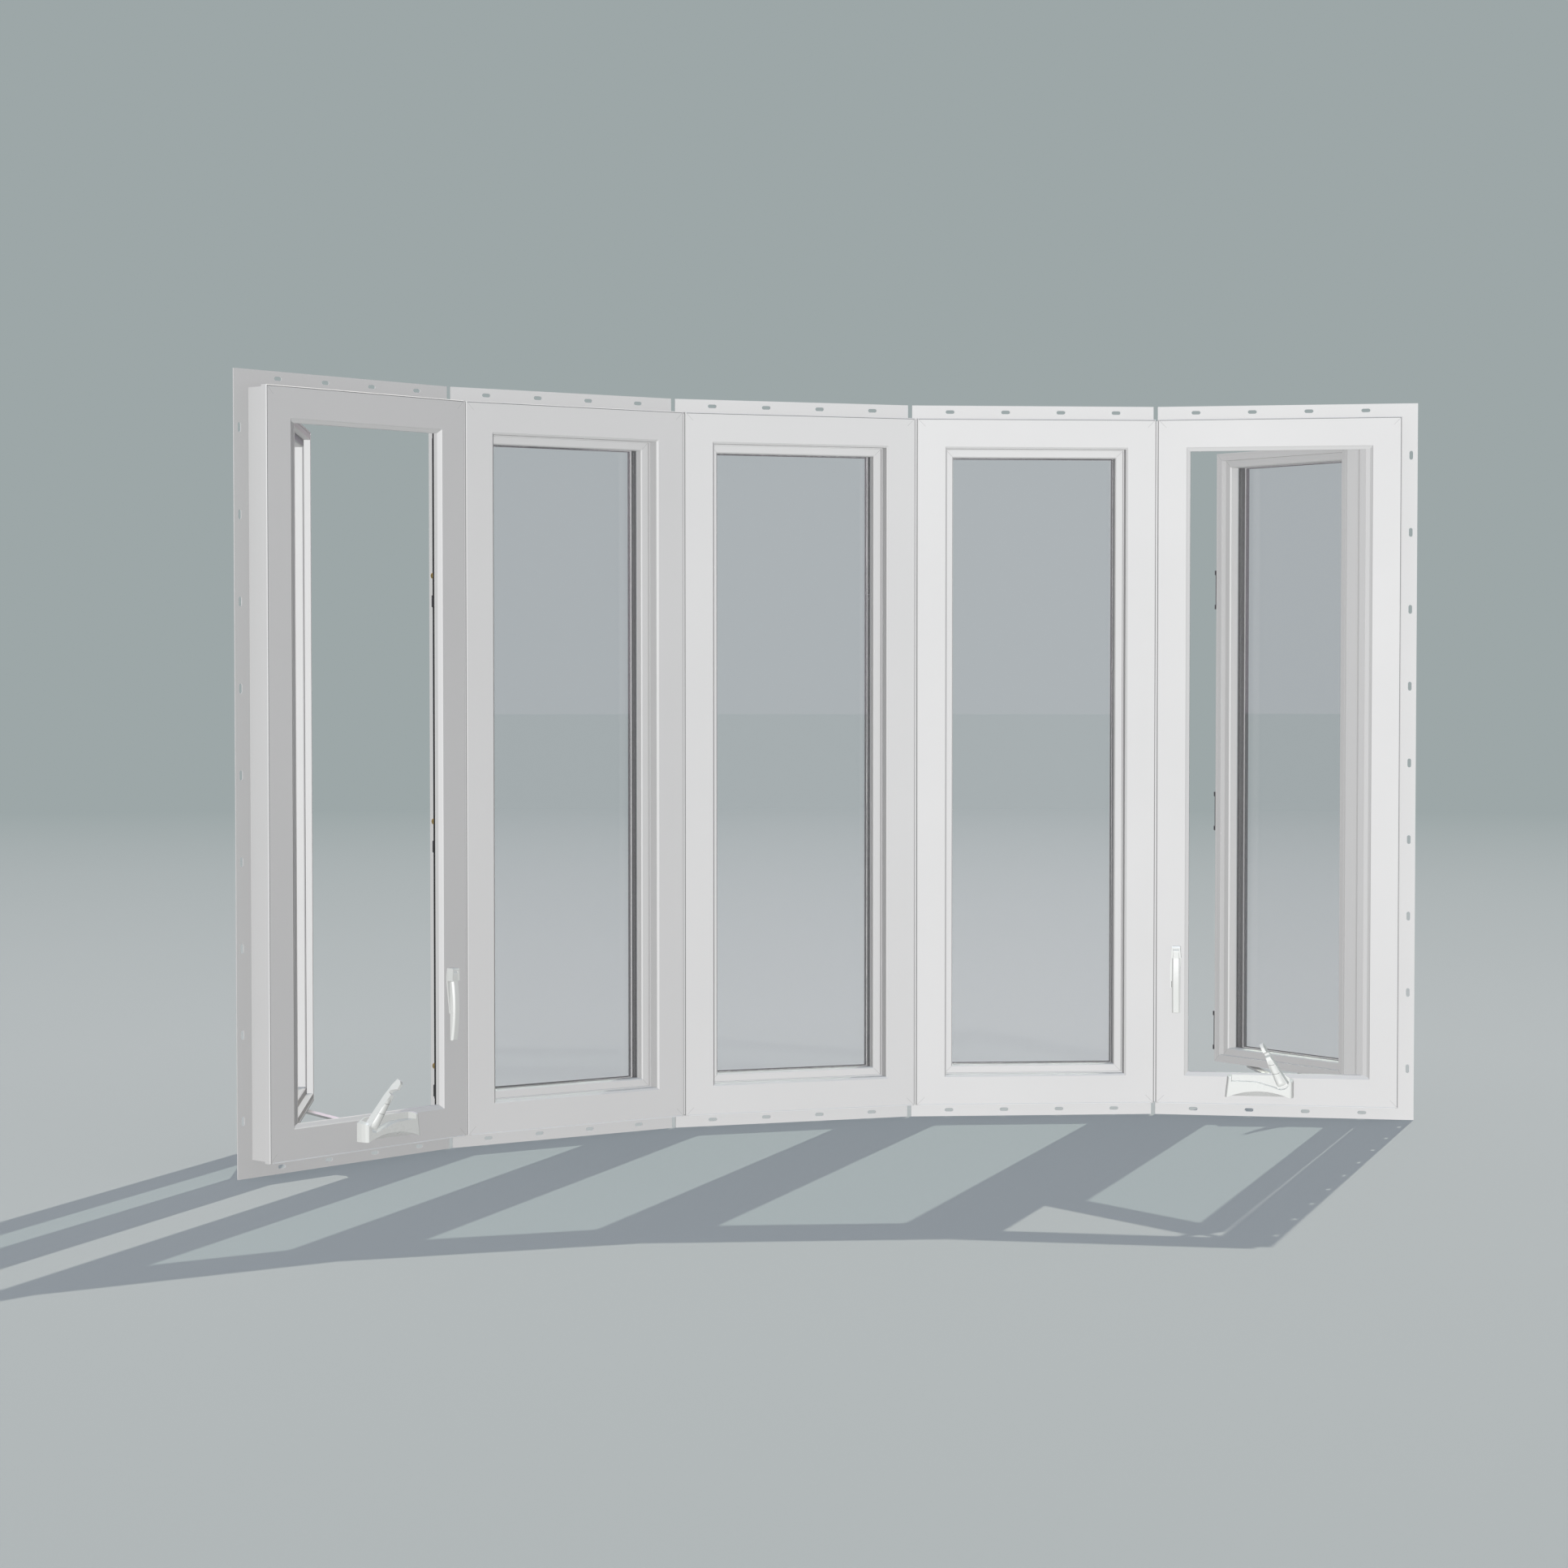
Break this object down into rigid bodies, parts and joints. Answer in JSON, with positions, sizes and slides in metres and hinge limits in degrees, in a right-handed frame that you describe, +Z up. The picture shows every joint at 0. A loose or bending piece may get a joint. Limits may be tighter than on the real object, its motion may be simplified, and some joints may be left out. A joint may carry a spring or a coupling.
{
  "type": "bow window",
  "caption": "Curved row of tall white window units joined by mullions, the end casements cranked open outwards, fixed units between, nailing fin all round.",
  "frame": {"origin": "on the floor at the middle of the centre unit's bottom nailing fin, in the middle of its thickness", "axes": "+X along the bow to the right as seen from the room, +Y outwards from the room, +Z up"},
  "size_m": [2.352, 0.4782, 1.424],
  "materials": {
    "vinyl": "satin",
    "fin_vinyl": "satin",
    "glass": "clear",
    "spacer": "matte",
    "rubber": "matte",
    "steel": "brushed",
    "dark_plastic": "matte",
    "hardware_white": "satin paint"
  },
  "bodies": {
    "window": {"frame_1": "vinyl", "frame_2": "vinyl", "frame_3": "vinyl", "frame_4": "vinyl", "frame_5": "vinyl", "sash_1": "vinyl", "sash_2": "vinyl", "sash_3": "vinyl", "sash_4": "vinyl", "sash_5": "vinyl", "bead_1": "vinyl", "bead_2": "vinyl", "bead_3": "vinyl", "bead_4": "vinyl", "bead_5": "vinyl", "mullion_1_2": "vinyl", "mullion_2_3": "vinyl", "mullion_3_4": "vinyl", "mullion_4_5": "vinyl", "nail_fin_1": "fin_vinyl", "nail_fin_2": "fin_vinyl", "nail_fin_3": "fin_vinyl", "nail_fin_4": "fin_vinyl", "nail_fin_5": "fin_vinyl", "glass_1": "glass", "glass_2": "glass", "glass_3": "glass", "glass_4": "glass", "glass_5": "glass", "spacer_bars": "spacer", "weather_seals": "rubber", "lock_bars": "steel", "lock_keepers": "dark_plastic", "hinge_1": "steel", "operator_arm_1": "steel", "operator_cover_1": "hardware_white", "lock_base_1": "hardware_white", "hinge_5": "steel", "operator_arm_5": "steel", "operator_cover_5": "hardware_white", "lock_base_5": "hardware_white"},
    "crank_1": {"crank_1": "hardware_white"},
    "crank_5": {"crank_5": "hardware_white"},
    "lock_lever_1": {"lock_lever_1": "hardware_white"},
    "lock_lever_5": {"lock_lever_5": "hardware_white"}
  },
  "joints": [
    {"name": "crank_fold_1", "type": "hinge", "parent": "window", "child": "crank_1", "pos_m": [-0.92035, -0.31117, 0.0801], "axis": [-0.4755, 0.8236, 0.309], "range_deg": [0, 56]},
    {"name": "lock_swing_1", "type": "hinge", "parent": "window", "child": "lock_lever_1", "pos_m": [-0.73939, -0.20669, 0.334], "axis": [-0.866, -0.5, 0], "range_deg": [0, 90]},
    {"name": "crank_fold_5", "type": "hinge", "parent": "window", "child": "crank_5", "pos_m": [0.92035, -0.31117, 0.0801], "axis": [-0.4755, -0.8236, -0.309], "range_deg": [0, 56]},
    {"name": "lock_swing_5", "type": "hinge", "parent": "window", "child": "lock_lever_5", "pos_m": [0.73939, -0.20669, 0.334], "axis": [-0.866, 0.5, 0], "range_deg": [0, 90]}
  ]
}
